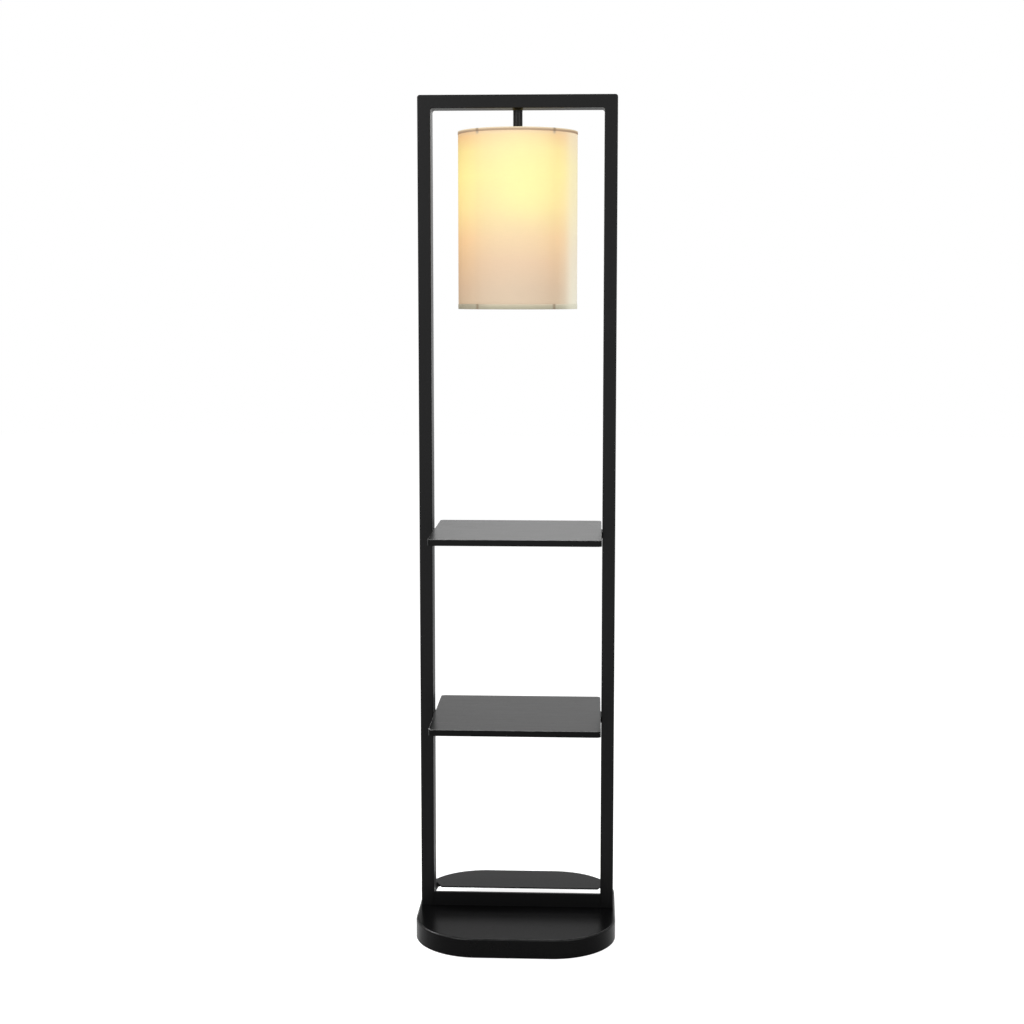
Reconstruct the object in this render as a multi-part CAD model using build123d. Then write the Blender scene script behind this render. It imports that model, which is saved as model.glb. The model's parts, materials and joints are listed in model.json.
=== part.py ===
"""Shelf floor lamp: a tube frame on a weighted base, two shelves and a hanging drum shade.

Millimetres. +X to the right, +Y to the back, +Z up. The origin lies under the middle of the base,
on the floor.
"""

import os
from math import cos, radians, sin

from build123d import *

os.makedirs("parts", exist_ok=True)

# Frame
frame_width = 380
overall_height = 1621
tube_width = 25
tube_depth = 50
tube_wall = 1.2
tube_edge_radius = 1.5
frame_setback = 7
outer_corner_radius = 5
inner_corner_radius = 4.5
bottom_bar_height = 27
bottom_bar_thickness = 6
bar_edge_radius = 0.8

# Base
base_side_margin = 4
base_depth = 400
base_height = 38
base_corner_radius = 124
base_edge_radius = 4
sheet_thickness = 2.5
skirt_floor_gap = 1.5
rear_cut_height = 18
rear_cut_margin = 3
slot_end_margin = 7
slot_width = 40
slot_setback = 20
slot_relief_depth = 26
slot_relief_width = 12
ballast_thickness = 6
ballast_side_clearance = 2
ballast_slot_margin = 5
underplate_thickness = 1.5
underplate_side_clearance = 1
underplate_rear_margin = 22
standoff_diameter = 10
front_foot_side_inset = 64
front_foot_inset = 60
rear_foot_side_inset = 16
rear_foot_inset = 100
foot_diameter = 20
foot_height = 3.5
foot_recess_depth = 1.75

# Shelves
upper_shelf_top = 789
lower_shelf_top = 424.5
shelf_thickness = 12
shelf_depth = 290
shelf_corner_radius = 8
shelf_edge_radius = 1
bracket_thickness = 1.2
bracket_length = 44
bracket_ledge = 18

# Rod and its lead
rod_diameter = 18
rod_wall = 1.5
rod_flare = 4
rod_length = 44
rod_stub = 1
bush_length = 14
nipple_diameter = 10
nipple_bore = 7
nipple_length = 26
nipple_drop = 12
lead_diameter = 5.5
lead_bend_radius = 28
lead_entry_radius = 18
gland_height = 96
gland_bore_clearance = 0.15
gland_flange_diameter = 16
gland_flange_thickness = 5
gland_neck_diameter = 10
gland_neck_length = 4
gland_edge_radius = 1.25

# Lampholder
holder_cap_diameter = 42
holder_cap_top_diameter = 24
holder_cap_height = 20
holder_cap_rim_height = 9
holder_wall = 2
shoulder_diameter = 50
shoulder_thickness = 3
barrel_diameter = 38.6
barrel_length = 36
insert_height = 11
insert_side_clearance = 0.4
insert_rise = 3
thread_shell_diameter = 28
thread_shell_wall = 0.5
thread_shell_length = 20
contact_diameter = 9
contact_thickness = 1.5
terminal_screw_diameter = 4
terminal_screw_height = 4
terminal_screw_spacing = 20
earth_tag_diameter = 17
earth_tag_thickness = 0.8
locknut_width = 14
locknut_height = 3.5

# Shade and its ring
shade_diameter = 229
shade_rise = 1
shade_height = 335
skin_thickness = 0.9
hem_thickness = 0.5
top_hem_height = 6
bottom_hem_height = 10
ring_wire_diameter = 4
strut_diameter = 3
strut_angle = 39
spider_hub_diameter = 60
spider_hub_thickness = 2
spider_arm_diameter = 4
spider_arm_bend_radius = 10
spider_arm_reach = 92
retaining_ring_diameter = 54
retaining_ring_height = 8
retaining_ring_ribs = 24
retaining_rib_radius = 1.2
retaining_rib_height = 5.6
retaining_ring_chamfer = 1

# Bulb
bulb_diameter = 60
bulb_body_diameter = 58
bulb_body_length = 38
bulb_neck_diameter = 30
bulb_neck_length = 9.5
bulb_wall = 1.2
screw_cap_diameter = 26.4
screw_cap_wall = 0.5
screw_cap_length = 21
insulator_height = 4
insulator_tip_diameter = 12
bulb_tip_diameter = 8
bulb_tip_height = 1.5
led_board_thickness = 1.6

# Fasteners
frame_bolt_diameter = 8
frame_bolt_head = 13
frame_bolt_head_height = 5.3
frame_bolt_grip = 22
frame_bolt_spacing = 24
frame_washer_diameter = 16
frame_washer_thickness = 1.6
post_plug_height = 30
foot_screw_diameter = 4
foot_screw_head = 8
foot_screw_head_height = 1.4
foot_screw_length = 12
shelf_screw_diameter = 3.5
shelf_screw_head = 7
shelf_screw_head_height = 1.4
shelf_screw_length = 11
shelf_screw_spacing = 28

# Fits
push_fit = 0.05
thread_fit = 0.1
hole_clearance = 0.5
running_gap = 0.3
swivel_clearance = 0.25
touch = 0.001

# Places worked out from the sizes above
opening_width = frame_width - 2 * tube_width
post_x = (frame_width - tube_width) / 2
rail_bottom = overall_height - tube_width
rail_floor = rail_bottom + tube_wall
rod_bottom = rail_bottom - rod_length
frame_back = frame_setback + tube_depth / 2
frame_front = frame_setback - tube_depth / 2
base_width = frame_width + 2 * base_side_margin
sheet_underside = base_height - sheet_thickness
ballast_underside = sheet_underside - ballast_thickness
underplate_top = foot_height + underplate_thickness
slot_front = frame_back + slot_setback
slot_back = slot_front + slot_width
slot_length = opening_width + 2 * slot_end_margin
frame_bolt_places = [
    (side * post_x, frame_setback + end * frame_bolt_spacing / 2) for side in (-1, 1) for end in (-1, 1)
]
front_foot_x = base_width / 2 - front_foot_side_inset
rear_foot_x = base_width / 2 - rear_foot_side_inset
front_foot_y = front_foot_inset - base_depth / 2
rear_foot_y = base_depth / 2 - rear_foot_inset
front_feet = [(side * front_foot_x, front_foot_y) for side in (-1, 1)]
rear_feet = [(side * rear_foot_x, rear_foot_y) for side in (-1, 1)]
underplate_rear = rear_foot_y + underplate_rear_margin
rear_cut_start = underplate_rear + rear_cut_margin
shelf_width = opening_width - 2 * bracket_thickness
rod_bore = rod_diameter - 2 * rod_wall
cap_bottom = rod_bottom - holder_cap_height
shoulder_bottom = cap_bottom - shoulder_thickness
barrel_bottom = cap_bottom - barrel_length
insert_top = cap_bottom + insert_rise
insert_bottom = insert_top - insert_height
spider_hub_top = shoulder_bottom - running_gap
ring_top = spider_hub_top - spider_hub_thickness - running_gap
skin_outer_radius = shade_diameter / 2 - hem_thickness
skin_inner_radius = skin_outer_radius - skin_thickness
shade_top = rod_bottom + shade_rise
shade_bottom = shade_top - shade_height
wire_radius = ring_wire_diameter / 2
wire_centre_radius = skin_inner_radius - wire_radius - push_fit
top_wire_z = shade_top - hem_thickness - wire_radius
bottom_wire_z = shade_bottom + hem_thickness + wire_radius
bulb_top = insert_bottom - contact_thickness - running_gap
screw_cap_top = bulb_top - bulb_tip_height - insulator_height
body_top = screw_cap_top - screw_cap_length
body_bottom = body_top - bulb_body_length

UP = (Align.CENTER, Align.CENTER, Align.MIN)
DOWN = (Align.CENTER, Align.CENTER, Align.MAX)


def disc(diameter, height, z, x=0, y=0):
    """Upright cylinder that stands at height z."""
    return Pos(x, y, z) * Cylinder(diameter / 2, height, align=UP)


def tube(outer_diameter, bore, height, z, x=0, y=0):
    """Upright tube that stands at height z."""
    return disc(outer_diameter, height, z, x, y) - disc(bore, height, z, x, y)


def lathe(profile):
    """Solid turned about the Z axis from a closed list of (radius, z) points."""
    outline = Polyline(*[(radius, 0, z) for radius, z in profile], close=True)
    return revolve(make_face(outline), Axis.Z)


def group(solids):
    """Separate solids that share one node."""
    return Compound(children=list(solids))


# Frame


def arch_profile(inset):
    """Upside-down U of the frame, drawn in the XZ plane and moved inwards by inset."""
    foot = base_height
    outer_height = overall_height - foot - inset
    inner_height = rail_bottom - foot + inset
    outer = Pos(0, foot + outer_height / 2) * Rectangle(frame_width - 2 * inset, outer_height)
    inner = Pos(0, foot + inner_height / 2) * Rectangle(opening_width + 2 * inset, inner_height)
    outer = fillet(outer.vertices().group_by(Axis.Y)[-1], outer_corner_radius - inset)
    inner = fillet(inner.vertices().group_by(Axis.Y)[-1], inner_corner_radius + inset)
    return Pos(0, frame_setback, 0) * (Plane.XZ * (outer - inner))


def frame_pieces():
    """Two posts and the top rail, mitred where they meet, with the rod's and the gland's holes."""
    arch = extrude(arch_profile(0), tube_depth / 2, both=True)
    long_edges = [
        edge
        for edge in arch.edges()
        if abs(abs(edge.center().Y - frame_setback) - tube_depth / 2) < touch
        and edge.center().Z > base_height + touch
    ]
    arch = fillet(long_edges, tube_edge_radius)
    arch -= extrude(arch_profile(tube_wall), tube_depth / 2 - tube_wall, both=True)
    reach = frame_width / 2 + tube_width
    mitre = Polyline(
        (-reach, 0, overall_height + tube_width),
        (reach, 0, overall_height + tube_width),
        (0, 0, overall_height - frame_width / 2),
        close=True,
    )
    wedge = Pos(0, frame_setback, 0) * extrude(make_face(mitre), tube_depth, both=True)
    rail = arch & wedge
    rail -= disc(rod_diameter + 2 * push_fit, 3 * tube_wall, rail_bottom - tube_wall, 0, frame_setback)
    posts = (arch - wedge).solids().sort_by(Axis.X)
    gland_hole = Pos(-post_x, frame_back, gland_height) * Rot(90, 0, 0) * Cylinder(
        gland_neck_diameter / 2 + push_fit, tube_width / 2
    )
    return {"left_post": posts[0] - gland_hole, "right_post": posts[1], "top_rail": rail}


def bottom_bar():
    """Flat bar between the posts' feet, flush with their front faces."""
    bar = Pos(0, frame_front, base_height) * Box(
        opening_width, bottom_bar_thickness, bottom_bar_height, align=(Align.CENTER, Align.MIN, Align.MIN)
    )
    return fillet(bar.edges().filter_by(Axis.X).group_by(Axis.Z)[-1], bar_edge_radius)


def post_plug(side):
    """Steel block inside a post's foot, tapped for the two frame bolts."""
    block = Pos(side * post_x, frame_setback, base_height) * Box(
        tube_width - 2 * tube_wall - 2 * push_fit,
        tube_depth - 2 * tube_wall - 2 * push_fit,
        post_plug_height,
        align=UP,
    )
    for x, y in frame_bolt_places:
        if x * side > 0:
            block -= disc(frame_bolt_diameter + 2 * thread_fit, post_plug_height, base_height, x, y)
    return block


def frame_bolts():
    """Hexagon bolts that clamp the ballast plate and the base cover to the post plugs."""
    seat = ballast_underside - frame_washer_thickness
    shank_length = frame_bolt_grip + base_height - seat
    bolts = []
    for x, y in frame_bolt_places:
        head = Pos(x, y, seat) * extrude(
            RegularPolygon(frame_bolt_head / 2, 6, major_radius=False), -frame_bolt_head_height
        )
        bolts.append(head + disc(frame_bolt_diameter, shank_length, seat, x, y))
    return group(bolts)


def frame_washers():
    """Washers under the bolt heads."""
    bore = frame_bolt_diameter + hole_clearance
    z = ballast_underside - frame_washer_thickness
    washer = tube(frame_washer_diameter, bore, frame_washer_thickness, z)
    return group(Pos(x, y) * washer for x, y in frame_bolt_places)


# Base


def base_plan(inset):
    """Outline of the base, moved inwards by inset."""
    return RectangleRounded(base_width - 2 * inset, base_depth - 2 * inset, base_corner_radius - inset)


def bolt_holes(z, height):
    """Clearance holes for the frame bolts."""
    return [disc(frame_bolt_diameter + 2 * hole_clearance, height, z, x, y) for x, y in frame_bolt_places]


def slot_cut():
    """Slot behind the frame, with a relief notch at each end of its rear edge."""
    half = slot_length / 2
    inner = half - slot_relief_width
    relief = slot_back + slot_relief_depth
    outline = Polyline(
        (-half, slot_front),
        (half, slot_front),
        (half, relief),
        (inner, slot_back),
        (-inner, slot_back),
        (-half, relief),
        close=True,
    )
    return extrude(make_face(outline), base_height * 2)


def rear_cut():
    """What is cut from the skirt at the back, low down, with a slope at each side."""
    reach = 2 * base_depth
    outline = Polyline(
        (rear_cut_start, 0),
        (rear_cut_start + rear_cut_height, rear_cut_height),
        (reach, rear_cut_height),
        (reach, 0),
        close=True,
    )
    return extrude(Plane.YZ * make_face(outline), base_width, both=True)


def base_cover():
    """Pressed steel cap of the base, with its slot and its skirt, which is cut away low at the back."""
    cap = Pos(0, 0, skirt_floor_gap) * extrude(base_plan(0), base_height - skirt_floor_gap)
    cap = fillet(cap.faces().sort_by(Axis.Z)[-1].edges(), base_edge_radius)
    cap -= extrude(base_plan(sheet_thickness), sheet_underside)
    cap -= slot_cut()
    cap -= rear_cut()
    for hole in bolt_holes(sheet_underside, sheet_thickness):
        cap -= hole
    return cap


def ballast_plate():
    """Steel plate under the front of the cover."""
    plan = base_plan(sheet_thickness + ballast_side_clearance)
    rear_edge = slot_front - ballast_slot_margin
    window = Pos(0, rear_edge) * Rectangle(base_width, base_depth * 2, align=(Align.CENTER, Align.MAX))
    plate = Pos(0, 0, ballast_underside) * extrude(plan & window, ballast_thickness)
    for hole in bolt_holes(ballast_underside, ballast_thickness):
        plate -= hole
    return plate


def underplate():
    """Thin plate that closes the base from below and carries the feet."""
    plan = base_plan(sheet_thickness + underplate_side_clearance)
    front = (Align.CENTER, Align.MAX)
    window = Pos(0, underplate_rear) * Rectangle(base_width, base_depth * 2, align=front)
    plate = Pos(0, 0, foot_height) * extrude(plan & window, underplate_thickness)
    for x, y in front_feet + rear_feet:
        plate -= disc(foot_screw_diameter + hole_clearance, underplate_thickness, foot_height, x, y)
    return plate


def standoffs():
    """Tapped pillars: the front pair hang from the ballast plate, the rear pair from the cover."""
    bore = foot_screw_diameter + 2 * thread_fit
    pillars = []
    for places, ceiling in ((front_feet, ballast_underside), (rear_feet, sheet_underside)):
        for x, y in places:
            pillars.append(tube(standoff_diameter, bore, ceiling - underplate_top, underplate_top, x, y))
    return group(pillars)


def foot_pads():
    """Round rubber feet with a recess for the screw head."""
    pads = []
    for x, y in front_feet + rear_feet:
        pad = disc(foot_diameter, foot_height, 0, x, y)
        pad -= disc(foot_screw_head + hole_clearance, foot_recess_depth, 0, x, y)
        pads.append(pad - disc(foot_screw_diameter + hole_clearance, foot_height, 0, x, y))
    return group(pads)


def foot_screws():
    """Screws through the feet and the underplate into the standoffs."""
    screws = []
    for x, y in front_feet + rear_feet:
        low = foot_recess_depth - foot_screw_head_height
        head = disc(foot_screw_head, foot_screw_head_height, low, x, y)
        screws.append(head + disc(foot_screw_diameter, foot_screw_length, foot_recess_depth, x, y))
    return group(screws)


# Shelves


def shelf(top):
    """Board between the posts."""
    board = Pos(0, frame_setback, top - shelf_thickness) * extrude(
        RectangleRounded(shelf_width, shelf_depth, shelf_corner_radius), shelf_thickness
    )
    board = fillet(board.faces().sort_by(Axis.Z)[-1].edges(), shelf_edge_radius)
    for x, y in shelf_screw_places():
        depth = shelf_screw_length - bracket_thickness
        board -= disc(shelf_screw_diameter + 2 * push_fit, depth, top - shelf_thickness, x, y)
    return board


def shelf_screw_places():
    """Two screws in each bracket's ledge."""
    x = opening_width / 2 - bracket_thickness - bracket_ledge / 2
    return [
        (side * x, frame_setback + end * shelf_screw_spacing / 2) for side in (-1, 1) for end in (-1, 1)
    ]


def shelf_bracket(top, side):
    """Angle on a post's inner face: its ledge carries the shelf and its upright leg spaces it."""
    align = (Align.MAX if side > 0 else Align.MIN, Align.CENTER, Align.MIN)
    low = top - shelf_thickness - bracket_thickness
    corner = Pos(side * opening_width / 2, frame_setback, low)
    leg = corner * Box(bracket_thickness, bracket_length, top - shelf_edge_radius - low, align=align)
    ledge = corner * Box(bracket_thickness + bracket_ledge, bracket_length, bracket_thickness, align=align)
    bracket = leg + ledge
    for x, y in shelf_screw_places():
        if x * side > 0:
            bracket -= disc(shelf_screw_diameter + hole_clearance, bracket_thickness, low, x, y)
    return bracket


def shelf_screws(top):
    """Pan-head screws from below, through the brackets into the shelf."""
    seat = top - shelf_thickness - bracket_thickness
    screws = []
    for x, y in shelf_screw_places():
        head = disc(shelf_screw_head, shelf_screw_head_height, seat - shelf_screw_head_height, x, y)
        screws.append(head + disc(shelf_screw_diameter, shelf_screw_length, seat, x, y))
    return group(screws)


# Rod and lead


def hang_rod():
    """Tube that hangs from the top rail, with a concave weld flare under the rail."""
    rod = disc(rod_diameter, rail_floor + rod_stub - rod_bottom, rod_bottom)
    flare = disc(rod_diameter + 2 * rod_flare, rod_flare, rail_bottom - rod_flare)
    flare -= Pos(0, 0, rail_bottom - rod_flare) * Torus(rod_diameter / 2 + rod_flare, rod_flare)
    rod = rod + flare - disc(rod_bore, rail_floor + rod_stub - rod_bottom, rod_bottom)
    return Pos(0, frame_setback, 0) * rod


def rod_end_bush():
    """Plug in the rod's lower end, tapped for the nipple."""
    plug = tube(rod_bore - 2 * push_fit, nipple_diameter + 2 * thread_fit, bush_length, rod_bottom)
    return Pos(0, frame_setback, 0) * plug


def nipple():
    """Hollow threaded tube from the bush into the lampholder's cap."""
    low = rod_bottom - nipple_drop
    return Pos(0, frame_setback, 0) * tube(nipple_diameter, nipple_bore, nipple_length, low)


def locknut_top():
    """Height of the locknut's upper face, under the earth tag and the cap's roof."""
    return rod_bottom - holder_wall - earth_tag_thickness


def nipple_locknut():
    """Thin hexagon nut inside the cap."""
    nut = Pos(0, 0, locknut_top()) * extrude(
        RegularPolygon(locknut_width / 2, 6, major_radius=False), -locknut_height
    )
    nut -= Pos(0, 0, locknut_top()) * Cylinder(nipple_diameter / 2 + thread_fit, locknut_height, align=DOWN)
    return Pos(0, frame_setback, 0) * nut


def earth_tag():
    """Flat ring clamped by the locknut, for the lead's earth wire."""
    ring = tube(earth_tag_diameter, nipple_diameter + hole_clearance, earth_tag_thickness, locknut_top())
    return Pos(0, frame_setback, 0) * ring


def lead_points():
    """Corners of the lead's route, from the gland's mouth up the post, along the rail, down the rod."""
    rail_z = overall_height - tube_wall - lead_diameter
    return [
        (-post_x, frame_back + gland_flange_thickness, gland_height),
        (-post_x, frame_setback, gland_height),
        (-post_x, frame_setback, rail_z),
        (0, frame_setback, rail_z),
        (0, frame_setback, insert_top),
    ]


def internal_lead():
    """Mains lead inside the tubes, whole from the gland to the lampholder's insert."""
    radii = [lead_entry_radius, lead_bend_radius, lead_bend_radius]
    route = FilletPolyline(*lead_points(), radius=radii)
    section = Plane(origin=route @ 0, z_dir=route % 0) * Circle(lead_diameter / 2)
    lead = sweep(section, path=route)
    print("lead radii", radii, "length", round(route.length, 1))
    print("lead volume / (section x length)", round(lead.volume / (section.area * route.length), 4))
    return lead


def cable_gland():
    """Rubber bush in the left post's rear wall, where the lead comes in."""
    neck_length = tube_wall + gland_neck_length
    outer = Cylinder(gland_flange_diameter / 2, gland_flange_thickness, align=UP)
    outer = fillet(outer.edges().group_by(Axis.Z)[-1], gland_edge_radius)
    outer += Cylinder(gland_neck_diameter / 2, neck_length, align=DOWN)
    outer -= Cylinder(lead_diameter / 2 + gland_bore_clearance, 2 * (neck_length + gland_flange_thickness))
    return Pos(-post_x, frame_back, gland_height) * Rot(-90, 0, 0) * outer


# Lampholder


def holder_cap():
    """Domed cap that hangs on the nipple."""
    outer, top, wall = holder_cap_diameter / 2, holder_cap_top_diameter / 2, holder_wall
    waist = cap_bottom + holder_cap_rim_height
    cap = lathe([(0, cap_bottom), (outer, cap_bottom), (outer, waist), (top, rod_bottom), (0, rod_bottom)])
    cap = fillet(cap.edges().filter_by(GeomType.CIRCLE).group_by(Axis.Z)[1], wall)
    hollow = lathe(
        [
            (0, cap_bottom),
            (outer - wall, cap_bottom),
            (outer - wall, waist - wall / 2),
            (top - wall / 2, rod_bottom - wall),
            (0, rod_bottom - wall),
        ]
    )
    cap -= hollow
    return Pos(0, frame_setback, 0) * (cap - disc(nipple_diameter + 2 * push_fit, wall, rod_bottom - wall))


def holder_barrel():
    """Sleeve round the thread shell, with the shoulder that the shade's hub comes up to."""
    bore = barrel_diameter - 2 * holder_wall
    barrel = disc(shoulder_diameter, shoulder_thickness, shoulder_bottom)
    barrel += disc(barrel_diameter, barrel_length, barrel_bottom)
    return Pos(0, frame_setback, 0) * (barrel - disc(bore, barrel_length, barrel_bottom))


def insert_diameter():
    """Outer diameter of the ceramic insert, inside the barrel's bore."""
    return barrel_diameter - 2 * holder_wall - 2 * insert_side_clearance


def holder_insert():
    """Ceramic block that carries the contacts."""
    return Pos(0, frame_setback, 0) * disc(insert_diameter(), insert_height, insert_bottom)


def thread_shell():
    """Metal shell that the bulb screws into."""
    bore = thread_shell_diameter - 2 * thread_shell_wall
    shell = tube(thread_shell_diameter, bore, thread_shell_length, insert_bottom - thread_shell_length)
    return Pos(0, frame_setback, 0) * shell


def centre_contact():
    """Contact stud under the insert."""
    z = insert_bottom - contact_thickness
    return Pos(0, frame_setback, 0) * disc(contact_diameter, contact_thickness, z)


def terminal_screws():
    """Two terminal screws on the insert's top."""
    places = [(side * terminal_screw_spacing / 2, frame_setback) for side in (-1, 1)]
    return group(disc(terminal_screw_diameter, terminal_screw_height, insert_top, x, y) for x, y in places)


def retaining_ring():
    """Ribbed ring that screws up the barrel and holds the shade's hub."""
    bore = barrel_diameter + 2 * thread_fit
    ring = disc(retaining_ring_diameter, retaining_ring_height, ring_top - retaining_ring_height)
    ring = chamfer(ring.faces().sort_by(Axis.Z)[0].edges(), retaining_ring_chamfer)
    rib = Cylinder(retaining_rib_radius, retaining_rib_height, align=DOWN)
    for place in PolarLocations(retaining_ring_diameter / 2, retaining_ring_ribs):
        ring += Pos(0, 0, ring_top) * place * rib
    ring -= disc(bore, retaining_ring_height, ring_top - retaining_ring_height)
    return Pos(0, frame_setback, 0) * ring


# Shade


def shade_skin():
    """Drum of fabric on its lining."""
    skin = tube(2 * skin_outer_radius, 2 * skin_inner_radius, shade_height - 2 * hem_thickness,
                shade_bottom + hem_thickness)
    return Pos(0, frame_setback, 0) * skin


def shade_hem(height, edge_z, inwards):
    """Folded band over the edge of the drum at edge_z; inwards is -1 at the top and 1 at the bottom."""
    outer = shade_diameter / 2
    lip = edge_z + inwards * hem_thickness
    band = edge_z + inwards * height
    hem = lathe(
        [
            (skin_inner_radius - ring_wire_diameter, edge_z),
            (outer, edge_z),
            (outer, band),
            (skin_outer_radius, band),
            (skin_outer_radius, lip),
            (skin_inner_radius - ring_wire_diameter, lip),
        ]
    )
    return Pos(0, frame_setback, 0) * hem


def shade_wire(z):
    """Round wire ring inside the drum."""
    return Pos(0, frame_setback, z) * Torus(wire_centre_radius, wire_radius)


def strut_angles():
    """Directions of the four struts, mirrored about both centre planes."""
    front_angle, back_angle = 270, 90
    middles = (front_angle, back_angle)
    return [middle + side * strut_angle for middle in middles for side in (-1, 1)]


def shade_struts():
    """Four upright wires between the rings."""
    low = bottom_wire_z + wire_radius
    length = top_wire_z - wire_radius - low
    radius = skin_inner_radius - strut_diameter / 2 - push_fit
    struts = []
    for angle in strut_angles():
        x, y = radius * cos(radians(angle)), radius * sin(radians(angle))
        struts.append(disc(strut_diameter, length, low, x, y + frame_setback))
    return group(struts)


def shade_spider():
    """Flat hub with four wire arms that rise to the top ring."""
    hub = tube(spider_hub_diameter, barrel_diameter + 2 * swivel_clearance, spider_hub_thickness,
               spider_hub_top - spider_hub_thickness)
    arm_z = spider_hub_top - spider_hub_thickness / 2
    start = spider_hub_diameter / 2 - spider_arm_diameter / 2
    end = wire_centre_radius - wire_radius - push_fit
    route = FilletPolyline(
        (start, 0, arm_z), (spider_arm_reach, 0, arm_z), (end, 0, top_wire_z), radius=spider_arm_bend_radius
    )
    section = Plane(origin=route @ 0, z_dir=route % 0) * Circle(spider_arm_diameter / 2)
    arm = sweep(section, path=route)
    reach = disc(2 * end, shade_height, shade_bottom + hem_thickness) & arm
    for angle in strut_angles():
        hub += Rot(0, 0, angle) * reach
    hub -= disc(barrel_diameter + 2 * swivel_clearance, shade_height, shade_bottom)
    flat = Box(shade_diameter, shade_diameter, shade_height, align=UP)
    keep = Pos(0, 0, spider_hub_top) * flat - Pos(0, 0, spider_hub_top) * Cylinder(
        shoulder_diameter / 2 + 2 * running_gap, shade_height, align=UP
    )
    keep += Pos(0, 0, spider_hub_top) * Box(shade_diameter, shade_diameter, shade_height, align=DOWN)
    return Pos(0, frame_setback, 0) * (hub & keep)


# Bulb


def bulb_tip():
    """Solder tip at the bulb's upper end."""
    return Pos(0, frame_setback, 0) * disc(bulb_tip_diameter, bulb_tip_height, bulb_top - bulb_tip_height)


def bulb_insulator():
    """Glass cone between the tip and the screw cap."""
    top = bulb_top - bulb_tip_height
    cone = lathe([(0, top), (insulator_tip_diameter / 2, top), (screw_cap_diameter / 2, screw_cap_top),
                  (0, screw_cap_top)])
    return Pos(0, frame_setback, 0) * cone


def bulb_cap():
    """Screw cap."""
    bore = screw_cap_diameter - 2 * screw_cap_wall
    return Pos(0, frame_setback, 0) * tube(screw_cap_diameter, bore, screw_cap_length, body_top)


def bulb_body():
    """Plastic neck that widens from the cap to the dome."""
    neck, wide = screw_cap_diameter / 2, bulb_body_diameter / 2
    knee, knee_z = bulb_neck_diameter / 2, body_top - bulb_neck_length
    outside = [(neck, body_top), (knee, knee_z), (wide, body_bottom)]
    inside = [(wide - bulb_wall, body_bottom), (knee - bulb_wall, knee_z), (neck - bulb_wall, body_top)]
    return Pos(0, frame_setback, 0) * lathe(outside + inside)


def led_board():
    """Round circuit board across the wide end of the body."""
    radius = bulb_body_diameter / 2 - bulb_wall
    slope = (bulb_body_diameter - screw_cap_diameter) / bulb_body_length
    diameter = 2 * radius - 2 * slope * led_board_thickness
    return Pos(0, frame_setback, 0) * disc(diameter, led_board_thickness, body_bottom)


def bulb_dome():
    """Opal dome, open towards the body."""
    radius = bulb_diameter / 2
    rise = (radius ** 2 - (bulb_body_diameter / 2) ** 2) ** 0.5
    dome = Sphere(radius) - Sphere(radius - bulb_wall)
    dome -= Pos(0, 0, rise) * Box(bulb_diameter, bulb_diameter, bulb_diameter, align=UP)
    return Pos(0, frame_setback, body_bottom - rise) * dome


def build():
    """Every node of the lamp by name."""
    nodes = frame_pieces()
    nodes["bottom_bar"] = bottom_bar()
    nodes["left_post_plug"] = post_plug(-1)
    nodes["right_post_plug"] = post_plug(1)
    nodes["frame_bolts"] = frame_bolts()
    nodes["frame_washers"] = frame_washers()
    nodes["base_cover"] = base_cover()
    nodes["ballast_plate"] = ballast_plate()
    nodes["underplate"] = underplate()
    nodes["standoffs"] = standoffs()
    nodes["foot_pads"] = foot_pads()
    nodes["foot_screws"] = foot_screws()
    for level, top in (("upper", upper_shelf_top), ("lower", lower_shelf_top)):
        nodes[level + "_shelf"] = shelf(top)
        nodes[level + "_shelf_screws"] = shelf_screws(top)
        for side_name, side in (("left", -1), ("right", 1)):
            nodes[level + "_" + side_name + "_bracket"] = shelf_bracket(top, side)
    nodes["hang_rod"] = hang_rod()
    nodes["rod_end_bush"] = rod_end_bush()
    nodes["nipple"] = nipple()
    nodes["nipple_locknut"] = nipple_locknut()
    nodes["earth_tag"] = earth_tag()
    nodes["internal_lead"] = internal_lead()
    nodes["cable_gland"] = cable_gland()
    nodes["holder_cap"] = holder_cap()
    nodes["holder_barrel"] = holder_barrel()
    nodes["holder_insert"] = holder_insert()
    nodes["thread_shell"] = thread_shell()
    nodes["centre_contact"] = centre_contact()
    nodes["terminal_screws"] = terminal_screws()
    nodes["retaining_ring"] = retaining_ring()
    nodes["shade_skin"] = shade_skin()
    nodes["shade_top_hem"] = shade_hem(top_hem_height, shade_top, -1)
    nodes["shade_bottom_hem"] = shade_hem(bottom_hem_height, shade_bottom, 1)
    nodes["shade_top_wire"] = shade_wire(top_wire_z)
    nodes["shade_bottom_wire"] = shade_wire(bottom_wire_z)
    nodes["shade_struts"] = shade_struts()
    nodes["shade_spider"] = shade_spider()
    nodes["bulb_tip"] = bulb_tip()
    nodes["bulb_insulator"] = bulb_insulator()
    nodes["bulb_cap"] = bulb_cap()
    nodes["bulb_body"] = bulb_body()
    nodes["led_board"] = led_board()
    nodes["bulb_dome"] = bulb_dome()
    return nodes


for name, shape in build().items():
    export_step(shape, os.path.join("parts", name + ".step"))
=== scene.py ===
"""Looks of the shelf floor lamp: materials, the fabric shade, light, floor and camera."""

import json
from math import cos, pi, radians, sin, tau

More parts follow.
